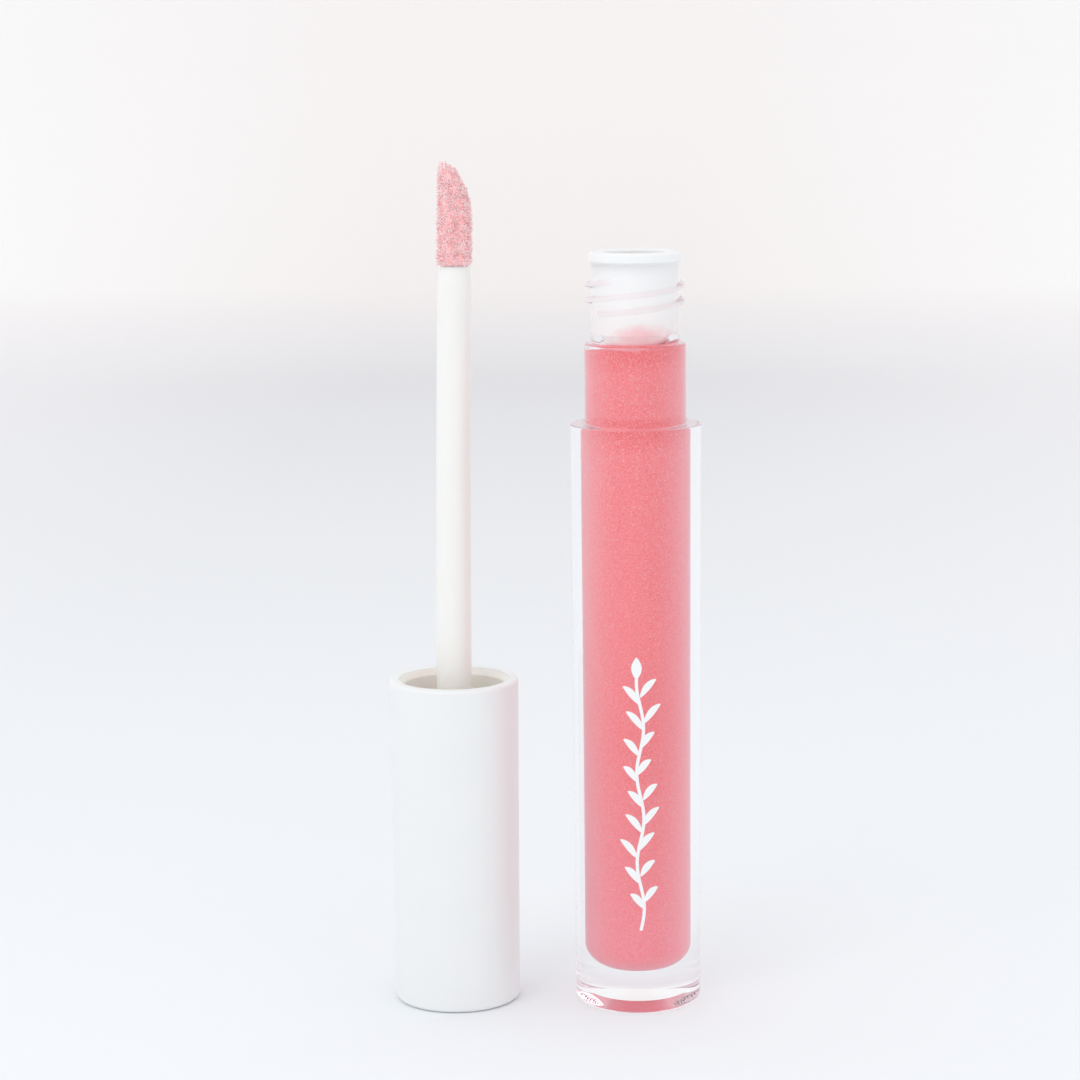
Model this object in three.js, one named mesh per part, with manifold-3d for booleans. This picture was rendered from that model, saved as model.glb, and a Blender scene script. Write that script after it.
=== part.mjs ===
// A lip gloss tube, open: the bottle of gloss stands on the right, and on the left the cap
// stands upside down with its wand and flocked applicator pointing up.
// Millimetres, +Z up, the table at z = 0.
import * as THREE from 'three';
import { mergeVertices } from 'three/addons/utils/BufferGeometryUtils.js';
import initManifold from 'manifold-3d';

const wasm = await initManifold();
wasm.setup();
const { Manifold, Mesh: ManifoldMesh } = wasm;

// ---- Driving dimensions ----
const AXIS_SPACING = 24.1; // between the bottle's axis and the wand's
const SEGMENTS = 48; // round the large pieces
const FINE_SEGMENTS = 32; // round the stem and applicator

const BODY_RADIUS = 8.5; // at the rim, where the closed cap meets the bottle
const FOOT_RADIUS = 8.24; // the body's draft narrows it to this at the foot
const RIM_HEIGHT = 77.1;
const STEP_RADIUS = 6.57;
const STEP_HEIGHT = 10.5;
const NECK_RADIUS = 5.72;
const NECK_HEIGHT = 10.4;
const BORE_TOP_RADIUS = 4.54;
const BORE_FOOT_RADIUS = 4.32;
const BORE_FLOOR = 4.8;
const BORE_CORNER = 2.6;
const FOOT_ROUND = 0.9;
const FOOT_RING_INNER = 6.4; // the foot stands on a ring round a shallow recess
const FOOT_RECESS = 1.1;
const FOOT_RECESS_CEILING = 4.2; // the radius of its ceiling, inside the sloping wall
const FOOT_RECESS_SLOPE = 25; // degrees
const FOOT_RECESS_ROUND = 0.2;

const THREAD_LEAD = 4; // two starts, 2 mm apart
const THREAD_CREST = 6.45;
const THREAD_HALF_BASE = 0.62;
const THREAD_HALF_CREST = 0.18;
const THREAD_SINK = 0.2; // how far a ridge is sunk in its wall
const THREAD_BASE_Z = 93; // where the first start crosses the +X side
const THREAD_FROM = -151; // degrees from +X
const THREAD_TO = 248;
const THREAD_FADE = 24; // degrees over which a ridge rises from its wall

const WIPER_FLANGE_RADIUS = 5.95;
const WIPER_FLANGE = 1.25;
const WIPER_BODY_RADIUS = 4.42;
const WIPER_WALL = 0.55;
const WIPER_BODY_LENGTH = 9.4;
const WIPER_CONE_LENGTH = 4;
const WIPER_ORIFICE_RADIUS = 2;
const WIPER_LIP = 0.4; // the wall narrows to this at the orifice

const GLOSS_LEVEL = 87.2;
const FIT_GAP = 0.05; // between pieces that are pressed or poured together

const CAP_LENGTH = 43.35;
const CAP_MOUTH_RADIUS = 8.5;
const CAP_END_RADIUS = 8.25;
const CAP_ROUND = 0.65;
const CAP_BORE_RADIUS = 7.2;
const CAP_END_WALL = 1.4;
const MOUTH_ROUND = 0.45;
const MOUTH_INNER_ROUND = 0.12;

const LINER_RECESS = 0.12; // the liner's mouth is nearly flush with the cap's
const LINER_LIP_DEPTH = 0.75; // its lip slopes in over this depth
const LINER_LIP_EDGE = 0.1; // the flat left at the top of the lip
const LINER_BORE = 6.65; // slides over the bottle's step
const LINER_THREAD_BORE = 6.55;
const LINER_THREAD_CREST = 5.95;
const LINER_THREAD_DEPTH = 10.8; // from the cap's mouth to the threaded bore
const LINER_FLOOR_DEPTH = 22.85;
const LINER_FLOOR_WALL = 1.5;
const LINER_SKIRT_BORE = 6.5;
const SOCKET_RADIUS = 3.7;
const SOCKET_LENGTH = 7.5;

const WASHER_INNER = 3.3;
const WASHER_OUTER = 6.2;
const WASHER_THICKNESS = 0.7;
const WASHER_GAP = 0.1;

const STEM_BASE_RADIUS = 2.335;
const STEM_TOP_RADIUS = 2.19;
const STEM_TOP = 97.6;
const STEM_SHOULDER = 2.6; // the stem rounds in over this length
const STEM_END_RADIUS = 1.75;
const STEM_COLLAR_RADIUS = 3;
const STEM_COLLAR = 0.75;
const PLUG_RADIUS = 1.2;
const PLUG_LENGTH = 6.5;

const TIP_TOP = 110.7;
const FLOCK_FOOT = 97.65;
const FLOCK_RADIUS = 2.3;
const FLOCK_DEPTH = 0.42; // the length of the fibres
const SLANT_START = 102.2; // where the doe-foot begins to slant
const SLANT_RADIUS = 12.5;
const TIP_ROUND = 0.75;

const COLOURS = {
  clear: { color: 0xf3eeee, roughness: 0.06, metalness: 0, transparent: true, opacity: 0.35 },
  gloss: { color: 0xe8646e, roughness: 0.15, metalness: 0 },
  milky: { color: 0xf4f1ef, roughness: 0.35, metalness: 0 },
  white: { color: 0xf2f0ef, roughness: 0.15, metalness: 0 },
  cream: { color: 0xefe2d2, roughness: 0.35, metalness: 0 },
  foam: { color: 0xe9e6e1, roughness: 0.9, metalness: 0 },
  core: { color: 0xf1dcd3, roughness: 0.5, metalness: 0 },
  flock: { color: 0xee9aa0, roughness: 1, metalness: 0 },
};

const BOTTLE_X = AXIS_SPACING / 2;
const WAND_X = -AXIS_SPACING / 2;
const NECK_FOOT = RIM_HEIGHT + STEP_HEIGHT;
const NECK_TOP = NECK_FOOT + NECK_HEIGHT;
const LINER_FLOOR = CAP_LENGTH - LINER_FLOOR_DEPTH;
const WIPER_FLANGE_FOOT = NECK_TOP + FIT_GAP;
const WIPER_BODY_FOOT = WIPER_FLANGE_FOOT - WIPER_BODY_LENGTH;
const WIPER_FOOT = WIPER_BODY_FOOT - WIPER_CONE_LENGTH;

// ---- Helpers ----
const radians = THREE.MathUtils.degToRad;

/** Points of an arc in the (radius, height) plane, angles in degrees. */
function arc(r, z, radius, from, to, steps = 4) {
  return Array.from({ length: steps + 1 }, (_, i) => {
    const a = radians(from + ((to - from) * i) / steps);
    return [r + radius * Math.cos(a), z + radius * Math.sin(a)];
  });
}

/** A solid of revolution about Z. The profile runs anticlockwise, outside wall upward. */
function turned(profile, segments = SEGMENTS) {
  const points = profile.map(([r, z]) => new THREE.Vector2(r, z));
  return new THREE.LatheGeometry(points, segments).rotateX(Math.PI / 2);
}

function toManifold(geometry) {
  const plain = new THREE.BufferGeometry();
  plain.setAttribute('position', geometry.getAttribute('position'));
  plain.setIndex(geometry.getIndex());
  const merged = mergeVertices(plain, 1e-4);
  const index = Array.from(merged.getIndex().array);
  const kept = [];
  for (let i = 0; i < index.length; i += 3) {
    const [a, b, c] = index.slice(i, i + 3);
    if (a !== b && b !== c && c !== a) kept.push(a, b, c);
  }
  const mesh = new ManifoldMesh({
    numProp: 3,
    vertProperties: new Float32Array(merged.getAttribute('position').array),
    triVerts: new Uint32Array(kept),
  });
  mesh.merge();
  return new Manifold(mesh);
}

function toGeometry(solid) {
  const mesh = solid.getMesh();
  const geometry = new THREE.BufferGeometry();
  const places = new THREE.BufferAttribute(Float32Array.from(mesh.vertProperties), 3);
  geometry.setAttribute('position', places);
  geometry.setIndex(new THREE.BufferAttribute(Uint32Array.from(mesh.triVerts), 1));
  geometry.computeVertexNormals();
  return geometry;
}

/** One start of a screw thread: a ridge swept along a right-hand helix, fading in and out. */
function threadRidge({ wall, crest, start, from, to, steps = 52 }) {
  const outward = Math.sign(crest - wall);
  const root = wall - outward * THREAD_SINK;
  const section = [
    [0, -THREAD_HALF_BASE],
    [1, -THREAD_HALF_CREST],
    [1, THREAD_HALF_CREST],
    [0, THREAD_HALF_BASE],
  ];
  if (outward < 0) section.reverse();
  const places = [];
  for (let i = 0; i <= steps; i += 1) {
    const angle = from + ((to - from) * i) / steps;
    const ends = Math.min(angle - from, to - angle) / THREAD_FADE;
    const rise = 0.12 + 0.88 * Math.sin((Math.min(ends, 1) * Math.PI) / 2);
    const middle = start + (THREAD_LEAD * angle) / 360;
    for (const [out, along] of section) {
      const r = root + (crest - root) * out * rise;
      places.push(r * Math.cos(radians(angle)), r * Math.sin(radians(angle)), middle + along);
    }
  }
  const n = section.length;
  const faces = [];
  for (let i = 0; i < steps; i += 1) {
    for (let j = 0; j < n; j += 1) {
      const a = i * n + j;
      const b = i * n + ((j + 1) % n);
      faces.push(a, a + n, b, b, a + n, b + n);
    }
  }
  const last = steps * n;
  for (let j = 1; j < n - 1; j += 1) {
    faces.push(0, j, j + 1, last, last + j + 1, last + j);
  }
  const geometry = new THREE.BufferGeometry();
  geometry.setAttribute('position', new THREE.Float32BufferAttribute(places, 3));
  geometry.setIndex(faces);
  return toManifold(geometry);
}

/** Both starts of a thread, half a turn apart. */
function twoStarts(options) {
  const first = threadRidge(options);
  return first.add(first.rotate([0, 0, 180]));
}

function piece(name, geometry, look, x) {
  const mesh = new THREE.Mesh(geometry, new THREE.MeshStandardMaterial(COLOURS[look]));
  mesh.name = name;
  mesh.position.x = x;
  return mesh;
}

// ---- The bottle and what is in it ----

/** The bore from the neck down to its rounded floor, inset by a gap, ending on the axis. */
function boreWall(inset) {
  const corner = BORE_CORNER - inset;
  const middle = [BORE_FOOT_RADIUS - BORE_CORNER, BORE_FLOOR + BORE_CORNER];
  return [...arc(...middle, corner, 0, -90, 8), [0, BORE_FLOOR + inset]];
}

/** The radius of the tapered bore at a height above its rounded corner. */
function boreRadius(z) {
  const corner = BORE_FLOOR + BORE_CORNER;
  const rise = (z - corner) / (NECK_TOP - corner);
  return BORE_FOOT_RADIUS + (BORE_TOP_RADIUS - BORE_FOOT_RADIUS) * rise;
}

/** The recess under the bottle, from its middle out to the foot ring. */
function footRecess() {
  const round = FOOT_RECESS_ROUND;
  const middle = [FOOT_RECESS_CEILING - round, FOOT_RECESS - round];
  return [
    [0, FOOT_RECESS],
    ...arc(...middle, round, 90, 90 - FOOT_RECESS_SLOPE, 3),
    [FOOT_RING_INNER, 0],
  ];
}

function bottle() {
  const profile = [
    ...footRecess(),
    ...arc(FOOT_RADIUS - FOOT_ROUND, FOOT_ROUND, FOOT_ROUND, -90, 0, 6),
    ...arc(BODY_RADIUS - 0.2, RIM_HEIGHT - 0.2, 0.2, 0, 90, 3),
    ...arc(STEP_RADIUS + 0.2, RIM_HEIGHT + 0.2, 0.2, -90, -180, 3),
    ...arc(STEP_RADIUS - 0.3, NECK_FOOT - 0.3, 0.3, 0, 90, 3),
    ...arc(NECK_RADIUS + 0.15, NECK_FOOT + 0.15, 0.15, -90, -180, 2),
    [NECK_RADIUS, NECK_TOP - 0.15],
    [NECK_RADIUS - 0.15, NECK_TOP],
    [BORE_TOP_RADIUS, NECK_TOP],
    ...boreWall(0),
  ];
  const thread = twoStarts({
    wall: NECK_RADIUS,
    crest: THREAD_CREST,
    start: THREAD_BASE_Z,
    from: THREAD_FROM,
    to: THREAD_TO,
  });
  return toGeometry(toManifold(turned(profile)).add(thread));
}

function wiper() {
  const top = WIPER_FLANGE_FOOT + WIPER_FLANGE;
  const bore = WIPER_BODY_RADIUS - WIPER_WALL;
  return turned([
    [WIPER_ORIFICE_RADIUS, WIPER_FOOT],
    [WIPER_ORIFICE_RADIUS + WIPER_LIP, WIPER_FOOT],
    [WIPER_BODY_RADIUS, WIPER_BODY_FOOT],
    [WIPER_BODY_RADIUS, WIPER_FLANGE_FOOT],
    ...arc(WIPER_FLANGE_RADIUS - 0.15, WIPER_FLANGE_FOOT + 0.15, 0.15, -90, 0, 2),
    ...arc(WIPER_FLANGE_RADIUS - 0.35, top - 0.35, 0.35, 0, 90, 4),
    ...arc(bore + 0.4, top - 0.4, 0.4, 90, 180, 3),
    [bore, WIPER_BODY_FOOT + 0.2],
    [WIPER_ORIFICE_RADIUS, WIPER_FOOT],
  ]);
}

/** The gloss fills the bore and stands round the outside of the wiper's cone. */
function gloss() {
  const lip = WIPER_ORIFICE_RADIUS + WIPER_LIP;
  const cone = (GLOSS_LEVEL - WIPER_FOOT) / WIPER_CONE_LENGTH;
  const inner = lip + (WIPER_BODY_RADIUS - lip) * cone + 2 * FIT_GAP;
  return turned([
    ...boreWall(FIT_GAP).reverse(),
    [boreRadius(GLOSS_LEVEL) - FIT_GAP, GLOSS_LEVEL],
    [inner, GLOSS_LEVEL],
    [lip + 2 * FIT_GAP, WIPER_FOOT - 2 * FIT_GAP],
    [0, WIPER_FOOT - 2 * FIT_GAP],
  ]);
}

// ---- The cap, upside down on its closed end ----

function capShell() {
  return turned([
    [0, 0],
    ...arc(CAP_END_RADIUS - CAP_ROUND, CAP_ROUND, CAP_ROUND, -90, 0, 5),
    ...arc(CAP_MOUTH_RADIUS - MOUTH_ROUND, CAP_LENGTH - MOUTH_ROUND, MOUTH_ROUND, 0, 90, 4),
    [CAP_BORE_RADIUS + MOUTH_INNER_ROUND, CAP_LENGTH],
    [CAP_BORE_RADIUS, CAP_LENGTH - MOUTH_INNER_ROUND],
    [CAP_BORE_RADIUS, CAP_END_WALL],
    [0, CAP_END_WALL],
  ]);
}

function capLiner() {
  const outer = CAP_BORE_RADIUS - FIT_GAP;
  const mouth = CAP_LENGTH - LINER_RECESS;
  const foot = CAP_END_WALL + FIT_GAP;
  const under = LINER_FLOOR - LINER_FLOOR_WALL;
  const socket = STEM_BASE_RADIUS + FIT_GAP;
  const threadTop = CAP_LENGTH - LINER_THREAD_DEPTH;
  const profile = [
    [LINER_SKIRT_BORE, foot],
    [outer, foot],
    [outer, mouth],
    [outer - LINER_LIP_EDGE, mouth],
    [LINER_BORE, mouth - LINER_LIP_DEPTH],
    [LINER_BORE, threadTop + 0.3],
    [LINER_THREAD_BORE, threadTop],
    [LINER_THREAD_BORE, LINER_FLOOR],
    [socket, LINER_FLOOR],
    [socket, under - SOCKET_LENGTH],
    [SOCKET_RADIUS, under - SOCKET_LENGTH],
    [SOCKET_RADIUS, under],
    [LINER_SKIRT_BORE, under],
    [LINER_SKIRT_BORE, foot],
  ];
  // The ridges sit half a pitch under the bottle's when the cap is screwed home.
  const closedOffset = RIM_HEIGHT + CAP_LENGTH - THREAD_LEAD / 4;
  const thread = twoStarts({
    wall: LINER_THREAD_BORE,
    crest: LINER_THREAD_CREST,
    start: closedOffset - THREAD_BASE_Z,
    from: -THREAD_TO,
    to: -THREAD_FROM - 90,
  });
  return toGeometry(toManifold(turned(profile)).add(thread));
}

function sealWasher() {
  const foot = LINER_FLOOR + WASHER_GAP;
  const top = foot + WASHER_THICKNESS;
  return turned(
    [
      [WASHER_INNER, foot],
      [WASHER_OUTER - 0.1, foot],
      [WASHER_OUTER, foot + 0.1],
      [WASHER_OUTER, top - 0.1],
      [WASHER_OUTER - 0.1, top],
      [WASHER_INNER, top],
      [WASHER_INNER, foot],
    ],
    SEGMENTS,
  );
}

// ---- The wand ----

function wandStem() {
  const foot = LINER_FLOOR - LINER_FLOOR_WALL - SOCKET_LENGTH + 0.3;
  const collar = LINER_FLOOR + FIT_GAP;
  const shoulder = STEM_TOP - STEM_SHOULDER;
  const hole = PLUG_RADIUS + FIT_GAP;
  const holeFloor = STEM_TOP - PLUG_LENGTH - 0.3;
  const rounding = arc(0, 0, 1, 0, 90, 5).map(([c, s]) => [
    STEM_END_RADIUS + (STEM_TOP_RADIUS - STEM_END_RADIUS) * c,
    shoulder + STEM_SHOULDER * s,
  ]);
  return turned(
    [
      [0, foot],
      [STEM_BASE_RADIUS - 0.3, foot],
      [STEM_BASE_RADIUS, foot + 0.3],
      [STEM_BASE_RADIUS, collar],
      [STEM_COLLAR_RADIUS, collar],
      ...arc(STEM_COLLAR_RADIUS - 0.2, collar + STEM_COLLAR - 0.2, 0.2, 0, 90, 2),
      [STEM_BASE_RADIUS, collar + STEM_COLLAR],
      ...rounding,
      [hole, STEM_TOP],
      [hole, holeFloor],
      [0, holeFloor],
    ],
    FINE_SEGMENTS,
  );
}

/** A doe-foot: a round bar whose end is cut on a slant by a large arc, facing +X. */
function doeFoot(foot, inset) {
  const radius = FLOCK_RADIUS - inset;
  const top = TIP_TOP - inset;
  const round = TIP_ROUND - Math.min(inset, 0.4);
  const bar = turned(
    [[0, foot], [radius, foot], ...arc(radius - round, top - round, round, 0, 90, 4), [0, top]],
    FINE_SEGMENTS,
  );
  const cutter = SLANT_RADIUS - inset;
  const disc = new THREE.CylinderGeometry(cutter, cutter, 12, 144);
  disc.translate(FLOCK_RADIUS - SLANT_RADIUS, 0, SLANT_START);
  const below = new THREE.BoxGeometry(12, 12, 2 * (SLANT_START - foot) + 2);
  below.translate(0, 0, foot - 1);
  const keep = toManifold(disc).add(toManifold(below));
  return toManifold(bar).intersect(keep);
}

function applicatorCore() {
  const plug = turned(
    [
      [0, STEM_TOP - PLUG_LENGTH],
      [PLUG_RADIUS - 0.25, STEM_TOP - PLUG_LENGTH],
      [PLUG_RADIUS, STEM_TOP - PLUG_LENGTH + 0.4],
      [PLUG_RADIUS, FLOCK_FOOT + 0.5],
      [0, FLOCK_FOOT + 0.5],
    ],
    FINE_SEGMENTS,
  );
  return toGeometry(doeFoot(FLOCK_FOOT, FLOCK_DEPTH).add(toManifold(plug)));
}

function applicatorFlock() {
  const hollow = doeFoot(FLOCK_FOOT - 1, FLOCK_DEPTH - FIT_GAP);
  return toGeometry(doeFoot(FLOCK_FOOT, 0).subtract(hollow));
}

// ---- Assembly ----
const tube = new THREE.Group();
tube.name = 'lip_gloss_tube';
tube.add(
  piece('bottle', bottle(), 'clear', BOTTLE_X),
  piece('wiper', wiper(), 'milky', BOTTLE_X),
  piece('gloss', gloss(), 'gloss', BOTTLE_X),
  piece('seal_washer', sealWasher(), 'foam', WAND_X),
  piece('cap_shell', capShell(), 'white', WAND_X),
  piece('cap_liner', capLiner(), 'cream', WAND_X),
  piece('wand_stem', wandStem(), 'cream', WAND_X),
  piece('applicator_core', applicatorCore(), 'core', WAND_X),
  piece('applicator_flock', applicatorFlock(), 'flock', WAND_X),
);

export default tube;
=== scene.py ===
"""An open lip gloss tube in a high-key studio: a clear bottle of pink shimmer gloss and,
beside it, the white cap standing upside down with its wand and flocked applicator.

Shapes are worked out in millimetres in the row frame and turned into metres when a mesh
is made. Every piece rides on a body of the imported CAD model.
"""

import math

import bpy
import numpy as np
from mathutils import Matrix, Vector


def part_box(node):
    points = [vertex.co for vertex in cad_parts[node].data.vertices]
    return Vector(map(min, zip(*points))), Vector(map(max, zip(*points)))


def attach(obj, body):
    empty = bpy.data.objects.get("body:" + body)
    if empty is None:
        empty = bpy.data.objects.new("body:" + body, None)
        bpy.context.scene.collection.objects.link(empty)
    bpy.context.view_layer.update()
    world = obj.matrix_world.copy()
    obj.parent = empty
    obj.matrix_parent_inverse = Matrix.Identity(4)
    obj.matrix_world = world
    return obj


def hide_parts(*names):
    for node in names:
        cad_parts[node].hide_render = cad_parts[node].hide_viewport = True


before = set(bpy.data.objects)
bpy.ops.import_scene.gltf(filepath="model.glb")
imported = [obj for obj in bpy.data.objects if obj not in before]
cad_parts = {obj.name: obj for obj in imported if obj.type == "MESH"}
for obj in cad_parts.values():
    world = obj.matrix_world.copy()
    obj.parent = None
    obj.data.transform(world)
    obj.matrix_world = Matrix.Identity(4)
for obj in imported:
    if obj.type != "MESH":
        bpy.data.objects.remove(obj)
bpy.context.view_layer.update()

MM = 0.001


def centre_x(node):
    """The middle of a CAD node along X, in millimetres."""
    low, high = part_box(node)
    return (low[0] + high[0]) / 2 / MM


def height_of(node, top=True):
    low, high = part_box(node)
    return (high if top else low)[2] / MM


# ---- Dimensions in millimetres, as in the CAD model ----
BOTTLE_X = centre_x("bottle")
WAND_X = centre_x("cap_shell")

BODY_RADIUS = 8.5
FOOT_RADIUS = 8.24
FOOT_ROUND = 0.9
FOOT_RING_INNER = 6.4
FOOT_RECESS = 1.1
FOOT_RECESS_CEILING = 4.2
FOOT_RECESS_SLOPE = 25
FOOT_RECESS_ROUND = 0.2
STEP_RADIUS = 6.57
STEP_HEIGHT = 10.5
NECK_RADIUS = 5.72
NECK_TOP = height_of("bottle")
NECK_FOOT = NECK_TOP - 10.4
RIM = NECK_FOOT - STEP_HEIGHT
BORE_TOP_RADIUS = 4.54
BORE_FOOT_RADIUS = 4.32
BORE_FLOOR = 4.8
BORE_CORNER = 2.6

THREAD_LEAD = 4.0
THREAD_CREST = 6.45
THREAD_HALF_BASE = 0.62
THREAD_HALF_CREST = 0.16
THREAD_BASE_Z = RIM + 15.9
THREAD_FROM, THREAD_TO = -151, 248
THREAD_FADE = 26

WIPER_TOP = height_of("wiper")
WIPER_FLANGE_RADIUS = 5.95
WIPER_BODY_FOOT = NECK_TOP - 9.35
WIPER_LIP = height_of("wiper", top=False)
WIPER_WALL = 0.55
WIPER_ORIFICE_RADIUS = 2.0
WIPER_FLANGE_EDGE = 0.15
WIPER_FLANGE_ROUND = 0.35
WIPER_MOUTH_ROUND = 0.4
SMEAR_MIDDLE = (1.0, 87.4)  # the smear of gloss: beside the bottle's axis, and its height
SMEAR_REACH = (4.2, 3.0)

CAP_TOP = height_of("cap_shell")
CAP_MOUTH_RADIUS = 8.5
CAP_END_RADIUS = 8.25
CAP_ROUND = 0.65
CAP_BORE_RADIUS = 7.2
CAP_END_WALL = 1.4
CAP_END_DISH = 0.12  # the closed end is dished this deep inside its rim
CAP_END_RIM = 1.4
CAP_END_STEP = 0.2
MOUTH_ROUND = 0.45
MOUTH_INNER_ROUND = 0.12
LINER_LIP_DEPTH = 0.75
LINER_LIP_EDGE = 0.1
LINER_TOP = height_of("cap_liner")
LINER_FOOT = height_of("cap_liner", top=False)
LINER_BORE = 6.65
LINER_THREAD_BORE = 6.55
LINER_THREAD_CREST = 5.95
LINER_THREAD_TOP = CAP_TOP - 10.8
LINER_FLOOR = CAP_TOP - 22.85
LINER_FLOOR_WALL = 1.5
LINER_SKIRT_BORE = 6.5
SOCKET_RADIUS = 3.7
SOCKET_LENGTH = 7.5

STEM_FOOT = height_of("wand_stem", top=False)
STEM_TOP = height_of("wand_stem")
STEM_BASE_RADIUS = 2.335
STEM_TOP_RADIUS = 2.19
STEM_END_RADIUS = 1.75
STEM_SHOULDER = 2.6
STEM_COLLAR_RADIUS = 3.0
STEM_COLLAR_HEIGHT = 0.75
PARTING_RIDGE = 0.018  # how high the mould's parting line stands
PARTING_WIDTH = 0.035  # and its half-width, as a sine of the angle round the stem
STEM_LEAN = 1.28  # the soft stem leans this far towards +X at the tip
STEM_BOW = 2.15  # the power that bends the lean into a bow

TIP_FOOT = height_of("applicator_flock", top=False)
TIP_TOP = height_of("applicator_flock")
TIP_RADIUS = 2.3
SLANT_START = 102.2
SLANT_RADIUS = 12.5
CORE_DEPTH = 0.85  # how far the soft core lies inside the tip's radius
SKIN_DEPTH = 0.25  # and the skin that the fibres stand on
FIBRES = 4300
FIBRE_ROOT_DEPTH = 0.27
FIBRE_LENGTH = 0.46
FIBRE_THICKNESS = 0.06

TRAPPED_REFLECTIONS = 3  # inside the clear wall, before the light is let out of it
SEAM = 0.02  # how far a filling is sunk in its wall, so that light meets one surface there

rng = np.random.default_rng(7)


# ---- Mesh helpers ----


def arc(r, z, radius, start, end, steps=8):
    """Points of an arc in the (radius, height) plane, angles in degrees."""
    angles = np.radians(np.linspace(start, end, steps + 1))
    return [(r + radius * math.cos(a), z + radius * math.sin(a)) for a in angles]


def held(profile, support=0.05):
    """The profile with extra points close to each corner, so that smooth shading stays crisp."""
    out = [profile[0]]
    for (r0, z0), (r1, z1) in zip(profile, profile[1:]):
        length = math.hypot(r1 - r0, z1 - z0)
        if length > 6 * support:
            for share in (support / length, 1 - support / length):
                out.append((r0 + (r1 - r0) * share, z0 + (z1 - z0) * share))
        out.append((r1, z1))
    return out


def new_object(name, vertices, faces, smooth=True):
    """A mesh object from vertices in millimetres."""
    mesh = bpy.data.meshes.new(name)
    mesh.from_pydata((np.asarray(vertices) * MM).tolist(), [], faces)
    mesh.validate()
    if smooth:
        mesh.shade_smooth()
    made = bpy.data.objects.new(name, mesh)
    bpy.context.scene.collection.objects.link(made)
    return made


def turned(name, x, profile, segments=160, closed=False, shift=None):
    """A solid of revolution about the vertical axis at x. A closed profile is a loop; an open
    one starts and ends on the axis. shift(angles, radii, heights) may return new radii and
    heights, one for each point of the grid."""
    angles = np.linspace(0, 2 * math.pi, segments, endpoint=False)
    loop = profile[:-1] if closed else profile
    radii, heights = (np.array(column, float) for column in zip(*loop))
    grid_r = np.repeat(radii[:, None], segments, 1)
    grid_z = np.repeat(heights[:, None], segments, 1)
    if shift:
        grid_r, grid_z = shift(angles[None, :], grid_r, grid_z)
    vertices, rows = [], []
    for r, z, on_axis in zip(grid_r, grid_z, radii < 1e-9):
        first = len(vertices)
        if on_axis:
            vertices.append((x, 0, z[0]))
            rows.append([first] * segments)
        else:
            vertices += list(zip(x + r * np.cos(angles), r * np.sin(angles), z))
            rows.append(list(range(first, first + segments)))
    pairs = list(zip(rows, rows[1:])) + ([(rows[-1], rows[0])] if closed else [])
    faces = []
    for low, high in pairs:
        for j in range(segments):
            k = (j + 1) % segments
            corners = [low[j], low[k], high[k], high[j]]
            faces.append(list(dict.fromkeys(corners)))
    return new_object(name, vertices, faces)


def thread_rise(angles, heights, base, start, end):
    """How much of the thread's full depth stands at each point, from 0 to 1, for two starts."""
    rise = np.zeros(np.broadcast(angles, heights).shape)
    for first in (0, 180):
        for turn in range(-3, 4):
            along = np.degrees(angles) + 360 * turn + first
            offset = np.abs(heights - (base + THREAD_LEAD * along / 360))
            flank = (THREAD_HALF_BASE - offset) / (THREAD_HALF_BASE - THREAD_HALF_CREST)
            flank = np.clip(flank, 0, 1)
            flank = flank * flank * (3 - 2 * flank)
            ends = np.clip(np.minimum(along - start, end - along) / THREAD_FADE, 0, 1)
            rise = np.maximum(rise, flank * np.sin(ends * math.pi / 2))
    return rise


def rows_between(r, low, high, step=0.08):
    """Points up a wall of one radius, close enough together to carry a thread."""
    count = round(abs(high - low) / step)
    return [(r, z) for z in np.linspace(low, high, count + 1)]


def part(obj, body, node, material):
    """Puts the material on a piece, rides it on its body and stands it for its CAD node."""
    obj.data.materials.append(material)
    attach(obj, body)
    if node:
        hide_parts(node)
    return obj


# ---- Material helpers ----


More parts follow.
